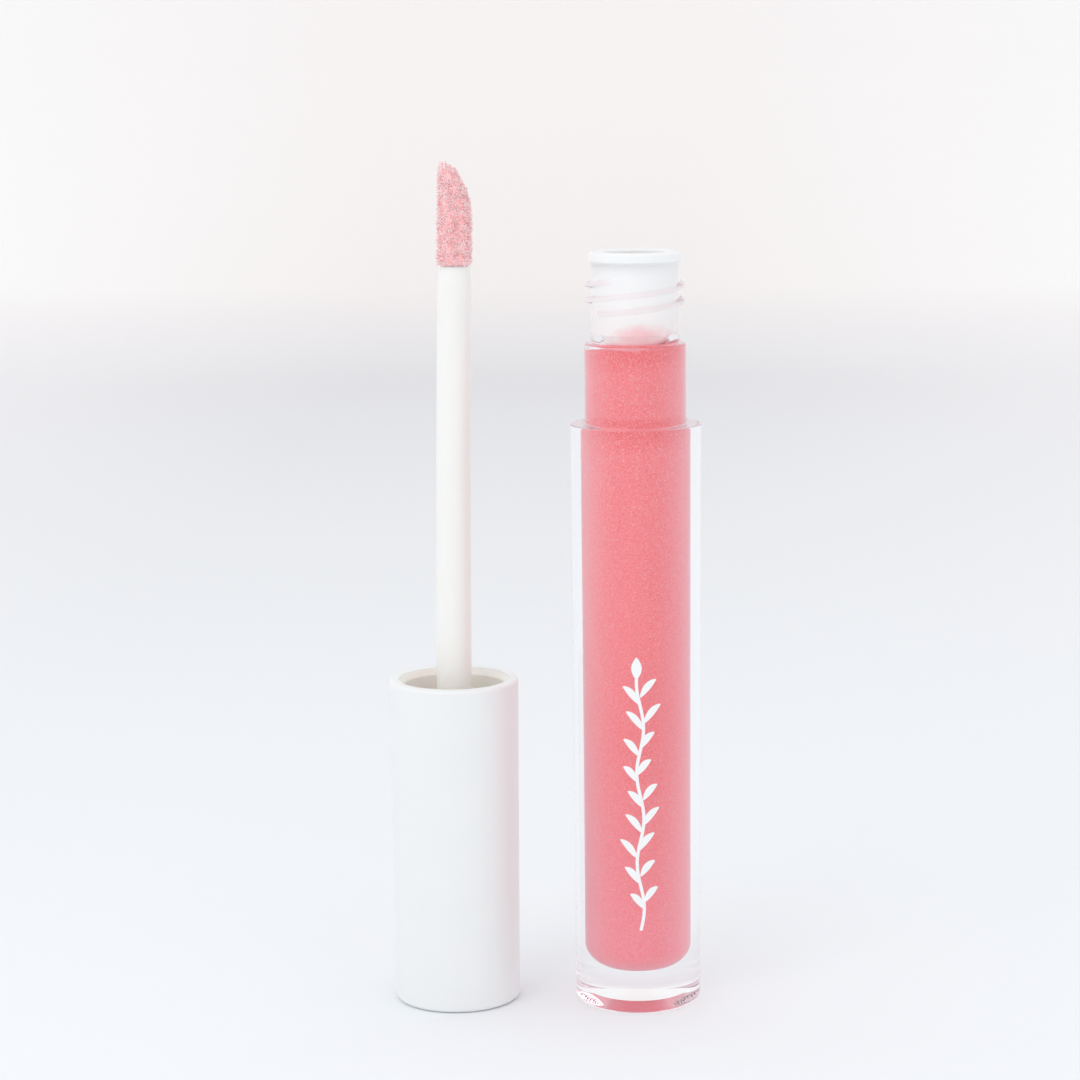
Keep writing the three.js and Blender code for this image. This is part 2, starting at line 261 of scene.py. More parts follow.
class Nodes:
    """A new material and short ways to add and link its nodes."""

    def __init__(self, name):
        self.material = bpy.data.materials.new(name)
        self.material.use_nodes = True
        self.tree = self.material.node_tree
        self.tree.nodes.clear()
        self.output = self.tree.nodes.new("ShaderNodeOutputMaterial")

    def add(self, kind, settings=None, **inputs):
        node = self.tree.nodes.new("ShaderNode" + kind)
        for key, value in (settings or {}).items():
            setattr(node, key, value)
        for key, value in inputs.items():
            self.feed(node.inputs[key.replace("_", " ")], value)
        return node

    def feed(self, socket, value):
        """Links an output socket, or sets a number or colour."""
        if isinstance(value, bpy.types.NodeSocket):
            self.tree.links.new(value, socket)
        elif isinstance(value, tuple) and len(value) == 3 and socket.type == "RGBA":
            socket.default_value = (*value, 1)
        else:
            socket.default_value = value

    def place(self):
        return self.add("TexCoord").outputs["Object"]

    def noise(self, scale, detail, vector=None):
        node = self.add("TexNoise", Vector=vector or self.place(), Scale=scale, Detail=detail)
        return node.outputs["Fac"]

    def ramp(self, value, low, high, out_low=0.0, out_high=1.0):
        node = self.add("MapRange", Value=value)
        for name, number in zip(
            ("From Min", "From Max", "To Min", "To Max"), (low, high, out_low, out_high)
        ):
            node.inputs[name].default_value = number
        return node.outputs["Result"]

    def maths(self, operation, a, b=0.0):
        node = self.add("Math", {"operation": operation})
        self.feed(node.inputs[0], a)
        self.feed(node.inputs[1], b)
        return node.outputs[0]

    def mix(self, fac, a, b):
        node = self.add("Mix", {"data_type": "RGBA"})
        colours = [s for s in node.inputs if s.type == "RGBA"]
        self.feed(node.inputs["Factor"], fac)
        self.feed(colours[0], a)
        self.feed(colours[1], b)
        return next(s for s in node.outputs if s.type == "RGBA")

    def bump(self, height, strength, distance):
        node = self.add("Bump", Height=height)
        node.inputs["Strength"].default_value = strength
        node.inputs["Distance"].default_value = distance
        return node.outputs["Normal"]

    def principled(self, **inputs):
        return self.add("BsdfPrincipled", **inputs)

    def finish(self, shader):
        self.tree.links.new(shader.outputs[0], self.output.inputs["Surface"])
        return self.material


# ---- Materials ----


def clear_plastic():
    """Polished clear plastic, whose thread is tinted pink: a painted reflection of the gloss below
    it.
    """
    n = Nodes("clear_plastic")
    smudge = n.noise(260, 3)
    waves = n.noise(90, 1)
    place = n.add("SeparateXYZ", Vector=n.place())
    beside = n.maths("SUBTRACT", place.outputs["X"], BOTTLE_X * MM)
    radius = n.maths("SQRT", n.maths(
        "ADD",
        n.maths("MULTIPLY", beside, beside),
        n.maths("MULTIPLY", place.outputs["Y"], place.outputs["Y"]),
    ))
    # Painted reflection: the thread's ridges above the step are tinted pink for the gloss that
    # shows in them.
    raised = n.ramp(radius, (NECK_RADIUS + 0.1) * MM, (NECK_RADIUS + 0.5) * MM)
    above_step = n.ramp(place.outputs["Z"], NECK_FOOT * MM, (NECK_FOOT + 1) * MM)
    ridge = n.maths("MULTIPLY", raised, above_step)
    body = n.principled(
        Base_Color=n.mix(ridge, (0.985, 0.985, 0.99), (0.95, 0.84, 0.86)),
        Roughness=n.ramp(smudge, 0.45, 0.75, 0.01, 0.05),
        Transmission_Weight=1.0,
        IOR=1.57,
        Normal=n.bump(waves, 0.06, 0.0004),
    )
    path = n.add("LightPath")
    soft = n.maths(
        "MAXIMUM", path.outputs["Is Shadow Ray"], path.outputs["Is Diffuse Ray"]
    )
    # Light that is still trapped in the wall after this many reflections is let out, with a
    # dull pink tint.
    trapped = n.maths("GREATER_THAN", path.outputs["Glossy Depth"], TRAPPED_REFLECTIONS - 0.5)
    lets_light_in = n.add(
        "BsdfTransparent", Color=n.mix(trapped, (0.96, 0.955, 0.955), (0.72, 0.56, 0.60))
    )
    mixed = n.add("MixShader", Fac=n.maths("MAXIMUM", soft, trapped))
    n.tree.links.new(body.outputs[0], mixed.inputs[1])
    n.tree.links.new(lets_light_in.outputs[0], mixed.inputs[2])
    return n.finish(mixed)


def lip_gloss():
    """Pink gloss with painted light and shade: a painted sheen makes it paler where the surface
    turns away, and painted shade darkens it under the rim and the shoulder. Shimmer crowds the
    top, and its sparkle is painted as paler flakes.
    """
    n = Nodes("lip_gloss")
    place = n.place()
    height = n.add("SeparateXYZ", Vector=place).outputs["Z"]
    streaks = n.add("Mapping", Vector=place)
    streaks.inputs["Scale"].default_value = (1, 1, 0.25)
    cloud = n.noise(160, 3, streaks.outputs[0])
    facing = n.add("LayerWeight", Blend=0.5).outputs["Facing"]
    deep = n.mix(cloud, (0.88, 0.165, 0.19), (0.95, 0.225, 0.25))
    # Painted shade: the gloss is darker just under the rim and under the shoulder.
    under_rim = n.ramp(height, (RIM - 3.6) * MM, (RIM - 0.6) * MM)
    above_rim = n.ramp(height, (RIM + 1.4) * MM, (RIM + 0.4) * MM)
    under_shoulder = n.ramp(height, (NECK_FOOT - 3.8) * MM, (NECK_FOOT - 1.4) * MM)
    painted_shade_bands = n.maths("MAXIMUM", n.maths("MULTIPLY", under_rim, above_rim), under_shoulder)
    deep = n.mix(n.maths("MULTIPLY", painted_shade_bands, 0.75), deep, (0.84, 0.11, 0.13))
    deep = n.mix(n.ramp(height, 35 * MM, 8 * MM, 0.0, 0.6), deep, (0.92, 0.26, 0.32))
    # Painted sheen: paler pink towards the edges, where the surface turns away.
    edge = n.mix(n.ramp(facing, 0.06, 0.9, 0.0, 0.8), deep, (0.95, 0.50, 0.56))
    grain = n.noise(5200, 1)
    grainy = n.mix(n.ramp(grain, 0.35, 0.65, 0.0, 0.2), edge, (0.98, 0.62, 0.62))
    cells = n.add("TexVoronoi", Vector=place, Scale=6500.0)
    lucky = n.add("SeparateColor", Color=cells.outputs["Color"])
    near = n.ramp(cells.outputs["Distance"], 0.45, 0.2)
    crowd = n.ramp(height, 40 * MM, 76 * MM, 0.93, 0.58)
    chosen = n.maths("GREATER_THAN", lucky.outputs[0], crowd)
    flake = n.maths("MULTIPLY", near, chosen)
    # The flakes are real shimmer particles; their sparkle is painted as a paler colour on them.
    painted_flake_sparkle = n.maths("MULTIPLY", flake, n.ramp(lucky.outputs[1], 0.0, 1.0, 0.08, 0.6))
    colour = n.mix(painted_flake_sparkle, grainy, (1.0, 0.82, 0.80))
    shader = n.principled(
        Base_Color=colour,
        Roughness=n.ramp(cloud, 0.3, 0.7, 0.29, 0.36),
        Specular_IOR_Level=0.05,
        Subsurface_Weight=0.3,
        Subsurface_Scale=0.001,
        Normal=n.bump(flake, 0.2, 0.00005),
    )
    shader.inputs["Subsurface Radius"].default_value = (1.0, 0.45, 0.45)
    return n.finish(shader)


def milky_plastic():
    """The wiper's translucent plastic: gloss inside its foot shows through as a pink smear. Light
    and shade are painted on it: the body, which is seen through the clear neck, is painted
    lighter, and the flange a little darker."""
    n = Nodes("milky_plastic")
    grain = n.noise(900, 3)
    place = n.add("SeparateXYZ", Vector=n.place())
    height = place.outputs["Z"]
    beside = n.maths("SUBTRACT", place.outputs["X"], (BOTTLE_X + SMEAR_MIDDLE[0]) * MM)
    higher = n.maths("SUBTRACT", height, SMEAR_MIDDLE[1] * MM)
    across = n.maths("DIVIDE", beside, SMEAR_REACH[0] * MM)
    above = n.maths("DIVIDE", higher, SMEAR_REACH[1] * MM)
    away = n.maths("ADD", n.maths("MULTIPLY", across, across), n.maths("MULTIPLY", above, above))
    ragged = n.maths("ADD", away, n.ramp(n.noise(700, 2), 0.3, 0.7, -0.25, 0.25))
    smear = n.ramp(ragged, 1.1, 0.2, 0.0, 0.85)
    tint = n.ramp(height, 96 * MM, 88.5 * MM, 0.0, 0.6)
    # Painted light and shade on one plastic: the body is painted lighter, the flange darker.
    body = n.mix(grain, (0.945, 0.945, 0.94), (0.965, 0.96, 0.955))
    flange = n.mix(grain, (0.87, 0.875, 0.87), (0.895, 0.895, 0.89))
    painted_light_and_shade = n.mix(n.ramp(height, (NECK_TOP - 0.1) * MM, NECK_TOP * MM), body, flange)
    low = n.mix(tint, painted_light_and_shade, (0.96, 0.82, 0.80))
    shader = n.principled(
        Base_Color=n.mix(smear, low, (0.97, 0.54, 0.56)),
        Roughness=n.ramp(grain, 0.3, 0.7, 0.29, 0.42),
        Subsurface_Weight=0.4,
        Subsurface_Scale=0.0005,
        Specular_IOR_Level=0.3,
        Normal=n.bump(grain, 0.08, 0.0001),
    )
    shader.inputs["Subsurface Radius"].default_value = (1.0, 0.9, 0.85)
    return n.finish(shader)


def white_plastic():
    n = Nodes("white_plastic")
    orange_peel = n.noise(700, 2)
    handling = n.noise(140, 4)
    shader = n.principled(
        Base_Color=n.mix(handling, (0.835, 0.845, 0.845), (0.86, 0.865, 0.865)),
        Roughness=n.ramp(handling, 0.35, 0.7, 0.29, 0.36),
        Subsurface_Weight=0.4,
        Subsurface_Scale=0.0004,
        Normal=n.bump(orange_peel, 0.04, 0.0001),
    )
    shader.inputs["Subsurface Radius"].default_value = (1.0, 0.9, 0.85)
    return n.finish(shader)


def cream_plastic(name, dark, light, depth):
    """Satin cream plastic that light enters to a depth, which is less than the wall is thick."""
    n = Nodes(name)
    drawn = n.add("Mapping", Vector=n.place())
    drawn.inputs["Scale"].default_value = (1, 1, 0.12)
    grain = n.noise(900, 3, drawn.outputs[0])
    shader = n.principled(
        Base_Color=n.mix(grain, dark, light),
        Roughness=n.ramp(grain, 0.3, 0.7, 0.29, 0.42),
        Subsurface_Weight=0.5,
        Subsurface_Scale=depth,
        Normal=n.bump(grain, 0.06, 0.0001),
    )
    shader.inputs["Subsurface Radius"].default_value = (1.0, 0.85, 0.7)
    return n.finish(shader)


def foam():
    n = Nodes("foam")
    cells = n.add("TexVoronoi", Vector=n.place(), Scale=3200.0)
    pores = n.ramp(cells.outputs["Distance"], 0.0, 0.5)
    shader = n.principled(
        Base_Color=n.mix(pores, (0.70, 0.68, 0.66), (0.86, 0.84, 0.82)),
        Roughness=n.ramp(pores, 0.0, 1.0, 0.95, 0.8),
        Normal=n.bump(pores, 0.5, 0.0002),
    )
    return n.finish(shader)


def soft_core():
    n = Nodes("soft_core")
    grain = n.noise(1200, 2)
    shader = n.principled(
        Base_Color=n.mix(grain, (0.84, 0.66, 0.62), (0.88, 0.72, 0.68)),
        Roughness=n.ramp(grain, 0.3, 0.7, 0.55, 0.7),
        Normal=n.bump(grain, 0.2, 0.0001),
    )
    return n.finish(shader)


def flock_fibre(name, deep, middle, pale, roughness):
    """Wet pink fibres: most of one pink, some soaked and deep, and some painted pale as
    highlights, for fibres that catch the light.
    """
    n = Nodes(name)
    cells = n.add("TexVoronoi", Vector=n.place(), Scale=5500.0)
    chance = n.add("SeparateColor", Color=cells.outputs["Color"]).outputs[0]
    soaked = n.mix(n.ramp(chance, 0.1, 0.35), deep, middle)
    shader = n.principled(
        # Painted highlight: the palest fibres.
        Base_Color=n.mix(n.ramp(chance, 0.6, 0.9), soaked, pale),
        Roughness=n.ramp(n.noise(3500, 2), 0.3, 0.7, roughness, roughness + 0.2),
        Sheen_Weight=0.8,
        Sheen_Roughness=0.4,
        Normal=n.bump(n.noise(9000, 1), 0.2, 0.00002),
    )
    return n.finish(shader)


def white_ink():
    n = Nodes("white_ink")
    grain = n.noise(2600, 2)
    shader = n.principled(
        Base_Color=n.mix(grain, (0.88, 0.88, 0.89), (0.93, 0.93, 0.93)),
        Roughness=n.ramp(grain, 0.3, 0.7, 0.3, 0.42),
        Normal=n.bump(grain, 0.15, 0.00005),
    )
    return n.finish(shader)


# ---- The bottle and what is in it ----


def bore_wall(grow):
    """The bore's rounded foot and floor, grown outwards by a margin, ending on the axis."""
    corner = BORE_CORNER + grow
    middle = (BORE_FOOT_RADIUS - BORE_CORNER, BORE_FLOOR + BORE_CORNER)
    return [*arc(*middle, corner, 0, -90, 14), (0.9, BORE_FLOOR - grow), (0, BORE_FLOOR - grow)]


def bottle():
    neck = rows_between(NECK_RADIUS, NECK_FOOT + 0.4, NECK_TOP - 0.3)
    profile = held(
        [
            (0, FOOT_RECESS),
            *arc(FOOT_RECESS_CEILING - FOOT_RECESS_ROUND, FOOT_RECESS - FOOT_RECESS_ROUND,
                 FOOT_RECESS_ROUND, 90, 90 - FOOT_RECESS_SLOPE, 4),
            *arc(FOOT_RING_INNER + 0.1, 0.1, 0.1, 270 - FOOT_RECESS_SLOPE, 270, 3),
            *arc(FOOT_RADIUS - FOOT_ROUND, FOOT_ROUND, FOOT_ROUND, -90, 0, 12),
            *arc(BODY_RADIUS - 0.2, RIM - 0.2, 0.2, 0, 90, 6),
            *arc(STEP_RADIUS + 0.2, RIM + 0.2, 0.2, -90, -180, 6),
            *arc(STEP_RADIUS - 0.3, NECK_FOOT - 0.3, 0.3, 0, 90, 6),
            *arc(NECK_RADIUS + 0.15, NECK_FOOT + 0.15, 0.15, -90, -180, 5),
            *neck,
            *arc(NECK_RADIUS - 0.15, NECK_TOP - 0.15, 0.15, 0, 90, 5),
            *arc(BORE_TOP_RADIUS + 0.1, NECK_TOP - 0.1, 0.1, 90, 180, 4),
            *bore_wall(0),
        ]
    )

    def raise_thread(angles, radii, heights):
        on_neck = np.abs(radii - NECK_RADIUS) < 1e-6
        rise = thread_rise(angles, heights, THREAD_BASE_Z, THREAD_FROM, THREAD_TO)
        return radii + on_neck * rise * (THREAD_CREST - NECK_RADIUS), heights

    made = turned("bottle_shell", BOTTLE_X, profile, 256, shift=raise_thread)
    return part(made, "bottle", "bottle", clear_plastic())


def wiper():
    bore = BORE_TOP_RADIUS + SEAM - WIPER_WALL
    profile = held(
        [
            (WIPER_ORIFICE_RADIUS + 0.12, WIPER_LIP),
            (WIPER_ORIFICE_RADIUS + 0.42, WIPER_LIP + 0.04),
            (BORE_TOP_RADIUS - 0.14, WIPER_BODY_FOOT - 0.1),
            (BORE_TOP_RADIUS + SEAM, WIPER_BODY_FOOT + 0.15),
            (BORE_TOP_RADIUS + SEAM, NECK_TOP - 0.2),
            (BORE_TOP_RADIUS + 0.25, NECK_TOP + 0.03),
            *arc(WIPER_FLANGE_RADIUS - WIPER_FLANGE_EDGE, NECK_TOP + 0.03 + WIPER_FLANGE_EDGE,
                 WIPER_FLANGE_EDGE, -90, 0, 4),
            *arc(WIPER_FLANGE_RADIUS - WIPER_FLANGE_ROUND, WIPER_TOP - WIPER_FLANGE_ROUND,
                 WIPER_FLANGE_ROUND, 0, 90, 8),
            *arc(bore + WIPER_MOUTH_ROUND, WIPER_TOP - WIPER_MOUTH_ROUND,
                 WIPER_MOUTH_ROUND, 90, 180, 6),
            (bore, WIPER_BODY_FOOT + 0.2),
            (WIPER_ORIFICE_RADIUS, WIPER_LIP + 0.12),
            (WIPER_ORIFICE_RADIUS + 0.12, WIPER_LIP),
        ]
    )
    made = turned("wiper_insert", BOTTLE_X, profile, 160, closed=True)
    return part(made, "bottle", "wiper", milky_plastic())


def gloss():
    level = height_of("gloss")
    corner = BORE_FLOOR + BORE_CORNER
    rise = (level - corner) / (NECK_TOP - corner)
    wall = BORE_FOOT_RADIUS + (BORE_TOP_RADIUS - BORE_FOOT_RADIUS) * rise + SEAM
    floor = bore_wall(SEAM)[::-1]
    side = [(floor[-1][0] + (wall - floor[-1][0]) * t, floor[-1][1] + (level - floor[-1][1]) * t)
            for t in np.linspace(0.02, 1, 60)]
    surface = [(wall * t, level) for t in np.linspace(0.985, 0, 30)]
    profile = [*floor, *side, *surface]

    def settle(angles, radii, heights):
        """Thick gloss clings to the wall, higher at the right and back than at front left."""
        cling = 0.1 + 0.55 * np.cos(angles - math.radians(20)) + 0.25 * np.cos(3 * angles + 1)
        near_wall = np.clip((radii / wall - 0.55) / 0.45, 0, 1) ** 3
        near_top = np.clip((heights - (level - 6)) / 6, 0, 1) ** 2
        return radii, heights + cling * near_wall * near_top

    made = turned("gloss_fill", BOTTLE_X, profile, 192, shift=settle)
    return part(made, "bottle", "gloss", lip_gloss())


class Print:
    """Flat printed shapes on the bottle: a point is (across, up) in millimetres, measured
    round the surface from the middle of the print and up from the table."""

    LIFT = 0.03
    MIDDLE = math.radians(-86)

    def __init__(self):
        self.vertices, self.faces = [], []

    def at(self, across, up, lift):
        radius = FOOT_RADIUS + (BODY_RADIUS - FOOT_RADIUS) * up / RIM + lift
        angle = self.MIDDLE + across / radius
        return (BOTTLE_X + radius * math.cos(angle), radius * math.sin(angle), up)

    def patch(self, rows):
        """A thin closed shape over a grid of points."""
        first, deep, wide = len(self.vertices), len(rows), len(rows[0])
        for lift in (self.LIFT, 0.002):
            self.vertices += [self.at(*p, lift) for row in rows for p in row]
        under = deep * wide

        def corner(i, j, layer):
            return first + layer * under + i * wide + j

        for i in range(deep - 1):
            for j in range(wide - 1):
                square = [(i, j), (i, j + 1), (i + 1, j + 1), (i + 1, j)]
                self.faces.append([corner(*c, 0) for c in square])
                self.faces.append([corner(*c, 1) for c in reversed(square)])
        edge = [(0, j) for j in range(wide)] + [(i, wide - 1) for i in range(1, deep)]
        edge += [(deep - 1, j) for j in range(wide - 2, -1, -1)]
        edge += [(i, 0) for i in range(deep - 2, 0, -1)]
        for a, b in zip(edge, edge[1:] + edge[:1]):
            self.faces.append([corner(*b, 0), corner(*a, 0), corner(*a, 1), corner(*b, 1)])

    def ribbon(self, points, width):
        """A line of one width, given by a width at each point or a single number."""
        points = np.array(points)
        along = np.gradient(points, axis=0)
        along /= np.linalg.norm(along, axis=1)[:, None]
        side = np.column_stack([-along[:, 1], along[:, 0]])
        half = np.broadcast_to(np.asarray(width) / 2, len(points))[:, None]
        self.patch([list(map(tuple, (p - side * h, p, p + side * h)))
                    for p, side, h in zip(points, side, half)])


def sprig():
    """A generic printed sprig: a waving stalk with leaves in pairs and a bud on top."""
    stroke, low, high = 0.42, 11.5, 47.5
    wave, sway = 12.0, 0.45
    printed = Print()

    def stalk(up):
        return sway * math.sin((up - low) / wave * 2 * math.pi)

    heights = np.linspace(low, high - 2.4, 90)
    printed.ribbon([(stalk(z), z) for z in heights], stroke)
    for step, up in enumerate(np.arange(low + 3.0, high - 3.5, 3.4)):
        for side in (-1, 1):
            root = (stalk(up) + side * 0.1, up + (0.9 if side > 0 else 0))
            length = 2.9 - 0.35 * math.cos(step * 1.3)
            lift = math.radians(48)
            t = np.linspace(0, 1, 18)
            xs = root[0] + side * length * np.cos(lift) * t
            zs = root[1] + length * np.sin(lift) * t + 0.35 * np.sin(math.pi * t)
            leaf = 0.12 + 0.95 * np.sin(math.pi * t) ** 0.8 * (1 - 0.35 * t)
            leaf[-1] = 0.05
            printed.ribbon(list(zip(xs, zs)), leaf)
    t = np.linspace(0, 1, 20)
    bud = 0.1 + 1.25 * np.sin(math.pi * t) ** 0.9
    printed.ribbon([(stalk(high - 2.4), high - 2.6 + 2.9 * k) for k in t], bud)
    made = new_object("printed_sprig", printed.vertices, printed.faces, smooth=False)
    return part(made, "bottle", None, white_ink())


# ---- The cap ----


def cap_shell():
    profile = held(
        [
            (0, CAP_END_DISH),
            (CAP_END_RADIUS - CAP_END_RIM - CAP_END_STEP, CAP_END_DISH),
            *arc(CAP_END_RADIUS - CAP_END_RIM, 0, 0.001, 180, 270, 1),
            *arc(CAP_END_RADIUS - CAP_ROUND, CAP_ROUND, CAP_ROUND, -90, 0, 10),
            *arc(CAP_MOUTH_RADIUS - MOUTH_ROUND, CAP_TOP - MOUTH_ROUND, MOUTH_ROUND, 0, 90, 10),
            *arc(CAP_BORE_RADIUS + MOUTH_INNER_ROUND, CAP_TOP - MOUTH_INNER_ROUND,
                 MOUTH_INNER_ROUND, 90, 180, 4),
            (CAP_BORE_RADIUS, CAP_END_WALL),
            (0, CAP_END_WALL),
        ]
    )
    made = turned("cap_outer", WAND_X, profile, 224)
    return part(made, "wand", "cap_shell", white_plastic())


def cap_liner():
    outer = CAP_BORE_RADIUS - 0.03
    socket = STEM_BASE_RADIUS + 0.03
    under = LINER_FLOOR - LINER_FLOOR_WALL
    threaded = rows_between(LINER_THREAD_BORE, LINER_THREAD_TOP - 0.4, LINER_FLOOR + 0.4)
    profile = held(
        [
            (LINER_SKIRT_BORE, LINER_FOOT),
            (outer, LINER_FOOT),
            (outer, LINER_TOP),
            (outer - LINER_LIP_EDGE, LINER_TOP),
            (LINER_BORE, LINER_TOP - LINER_LIP_DEPTH),
            (LINER_BORE, LINER_THREAD_TOP + 0.3),
            (LINER_THREAD_BORE, LINER_THREAD_TOP),
            *threaded,
            (LINER_THREAD_BORE, LINER_FLOOR),
            (socket, LINER_FLOOR),
            (socket, under - SOCKET_LENGTH),
            (SOCKET_RADIUS, under - SOCKET_LENGTH),
            (SOCKET_RADIUS, under),
            (LINER_SKIRT_BORE, under),
            (LINER_SKIRT_BORE, LINER_FOOT),
        ]
    )
    closed_offset = RIM + CAP_TOP - THREAD_LEAD / 4

    def raise_thread(angles, radii, heights):
        on_wall = (np.abs(radii - LINER_THREAD_BORE) < 1e-6) & (heights < LINER_THREAD_TOP)
        base = closed_offset - THREAD_BASE_Z
        rise = thread_rise(angles, heights, base, -THREAD_TO, -THREAD_FROM - 90)
        return radii - on_wall * rise * (LINER_THREAD_BORE - LINER_THREAD_CREST), heights

    made = turned("inner_cap", WAND_X, profile, 192, closed=True, shift=raise_thread)
    return part(made, "wand", "cap_liner",
                cream_plastic("liner_plastic", (0.99, 0.93, 0.85), (1.0, 0.955, 0.885), 0.0002))


def seal_washer():
    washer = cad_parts["seal_washer"]
    low, high = height_of("seal_washer", top=False), height_of("seal_washer")
    outer = (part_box("seal_washer")[1][0] / MM) - WAND_X
    inner = 3.3
    profile = held(
        [
            (inner + 0.08, low),
            *arc(outer - 0.15, low + 0.15, 0.15, -90, 0, 4),
            *arc(outer - 0.15, high - 0.15, 0.15, 0, 90, 4),
            (inner + 0.08, high),
            (inner, (low + high) / 2),
            (inner + 0.08, low),
        ]
    )
    made = turned("foam_washer", WAND_X, profile, 128, closed=True)
    return part(made, "seal", washer.name, foam())


# ---- The wand ----


def bow(obj):
    """Leans and bows a piece of the wand from the liner's floor up."""
    reach = TIP_TOP - LINER_FLOOR
    for vertex in obj.data.vertices:
        along = max(vertex.co.z / MM - LINER_FLOOR, 0) / reach
        vertex.co.x += STEM_LEAN * along**STEM_BOW * MM


def stem():
    collar = LINER_FLOOR + 0.05
    collar_top = collar + STEM_COLLAR_HEIGHT
    shoulder = STEM_TOP - STEM_SHOULDER
    sides = [
        (STEM_BASE_RADIUS + (STEM_TOP_RADIUS - STEM_BASE_RADIUS) * t,
         collar_top + 0.2 + (shoulder - collar_top - 0.2) * t)
        for t in np.linspace(0, 1, 60)
    ]
    rounding = [
        (STEM_END_RADIUS + (STEM_TOP_RADIUS - STEM_END_RADIUS) * math.cos(a),
         shoulder + STEM_SHOULDER * math.sin(a))
        for a in np.linspace(0.1, math.pi / 2, 14)
    ]
    profile = held(
        [
            (0, STEM_FOOT),
            (STEM_BASE_RADIUS - 0.3, STEM_FOOT),
            (STEM_BASE_RADIUS, STEM_FOOT + 0.3),
            (STEM_BASE_RADIUS, collar),
            (STEM_COLLAR_RADIUS, collar),
            *arc(STEM_COLLAR_RADIUS - 0.2, collar_top - 0.2, 0.2, 0, 90, 5),
            *arc(STEM_BASE_RADIUS + 0.15, collar_top + 0.15, 0.15, -90, -180, 4),
            *sides,
            *rounding,
            (0, STEM_TOP),
        ],
        0.03,
    )

    def parting_line(angles, radii, heights):
        """The two fine ridges that a split mould leaves along the stem."""
        ridge = np.exp(-((np.sin(angles) / PARTING_WIDTH) ** 2)) * PARTING_RIDGE
        return radii + ridge * (heights > collar_top + 0.3) * (radii > 1), heights

    made = turned("wand_rod", WAND_X, profile, 180, shift=parting_line)
    bow(made)
    return part(made, "wand", "wand_stem",
                cream_plastic("stem_plastic", (0.86, 0.85, 0.82), (0.885, 0.88, 0.855), 0.0015))


def smooth_max(a, b, width):
    blend = np.clip(width - np.abs(a - b), 0, None) / width
    return np.maximum(a, b) + blend * blend * width / 4


def tip_distance(x, y, z, radius):
    """About how far a point is outside the doe-foot tip of that radius, x from its axis."""
    inset = TIP_RADIUS - radius
    bar = np.hypot(x, y) - radius
    slant_x = TIP_RADIUS - SLANT_RADIUS
    slant = np.hypot(x - slant_x, np.maximum(z - SLANT_START, 0)) - (SLANT_RADIUS - inset)
    top = z - (TIP_TOP - inset)
    return smooth_max(smooth_max(bar, slant, 0.8), top, 0.9)


def tip_skin(radius):
    """Rings of points over the tip's surface: the solid that the fibres stand on."""
    inset = TIP_RADIUS - radius
    heights = np.concatenate(
        [[TIP_FOOT + 0.02], np.linspace(TIP_FOOT + 0.1, TIP_TOP - inset - 0.25, 70)]
    )
    angles = np.linspace(0, 2 * math.pi, 64, endpoint=False)
    slant_x = TIP_RADIUS - SLANT_RADIUS
    reach = np.sqrt((SLANT_RADIUS - inset) ** 2 - np.maximum(heights - SLANT_START, 0) ** 2)
    middle = (np.minimum(slant_x + reach, radius) - radius) / 2
    low = np.zeros((len(heights), len(angles)))
    high = np.full_like(low, 3.2)
    for _ in range(24):
        half = (low + high) / 2
        x = middle[:, None] + half * np.cos(angles)
        y = half * np.sin(angles)
        outside = tip_distance(x, y, heights[:, None], radius) > 0
        high, low = np.where(outside, half, high), np.where(outside, low, half)
    x = WAND_X + middle[:, None] + low * np.cos(angles)
    y = low * np.sin(angles)
    z = np.repeat(heights[:, None], len(angles), 1)
    wide = len(angles)
    vertices = np.stack([x, y, z], -1).reshape(-1, 3).tolist()
    faces = [
        [i * wide + j, i * wide + (j + 1) % wide,
         (i + 1) * wide + (j + 1) % wide, (i + 1) * wide + j]
        for i in range(len(heights) - 1)
        for j in range(wide)
    ]
    crown = [WAND_X + middle[-1], 0, heights[-1] + 0.12]
    base = [WAND_X + middle[0], 0, heights[0]]
    vertices += [crown, base]
    last = (len(heights) - 1) * wide
    for j in range(wide):
        k = (j + 1) % wide
        faces.append([last + j, last + k, len(vertices) - 2])
        faces.append([k, j, len(vertices) - 1])
    return vertices, faces


def surface_points(count, radius):
    """Points spread over the tip's surface, with the outward normal at each."""
    seeds = np.column_stack(
        [rng.normal(size=(count, 2)), rng.uniform(TIP_FOOT, TIP_TOP + 0.6, count)]
    )
    seeds[:, :2] *= (2.6 / np.linalg.norm(seeds[:, :2], axis=1))[:, None]
    at_top = seeds[:, 2] > TIP_TOP - 1.2
    seeds[at_top, :2] *= rng.uniform(0.1, 1, at_top.sum())[:, None] ** 0.5
    step = 1e-3
    for _ in range(12):
        x, y, z = seeds.T
        here = tip_distance(x, y, z, radius)
        slope = np.column_stack(
            [
                tip_distance(x + step, y, z, radius) - here,
                tip_distance(x, y + step, z, radius) - here,
                tip_distance(x, y, z + step, radius) - here,
            ]
        )
        slope /= np.maximum(np.linalg.norm(slope, axis=1), 1e-12)[:, None]
        seeds -= slope * here[:, None] * 0.9
    keep = (seeds[:, 2] > TIP_FOOT + 0.03) & (np.abs(here) < 0.02)
    return seeds[keep], slope[keep]


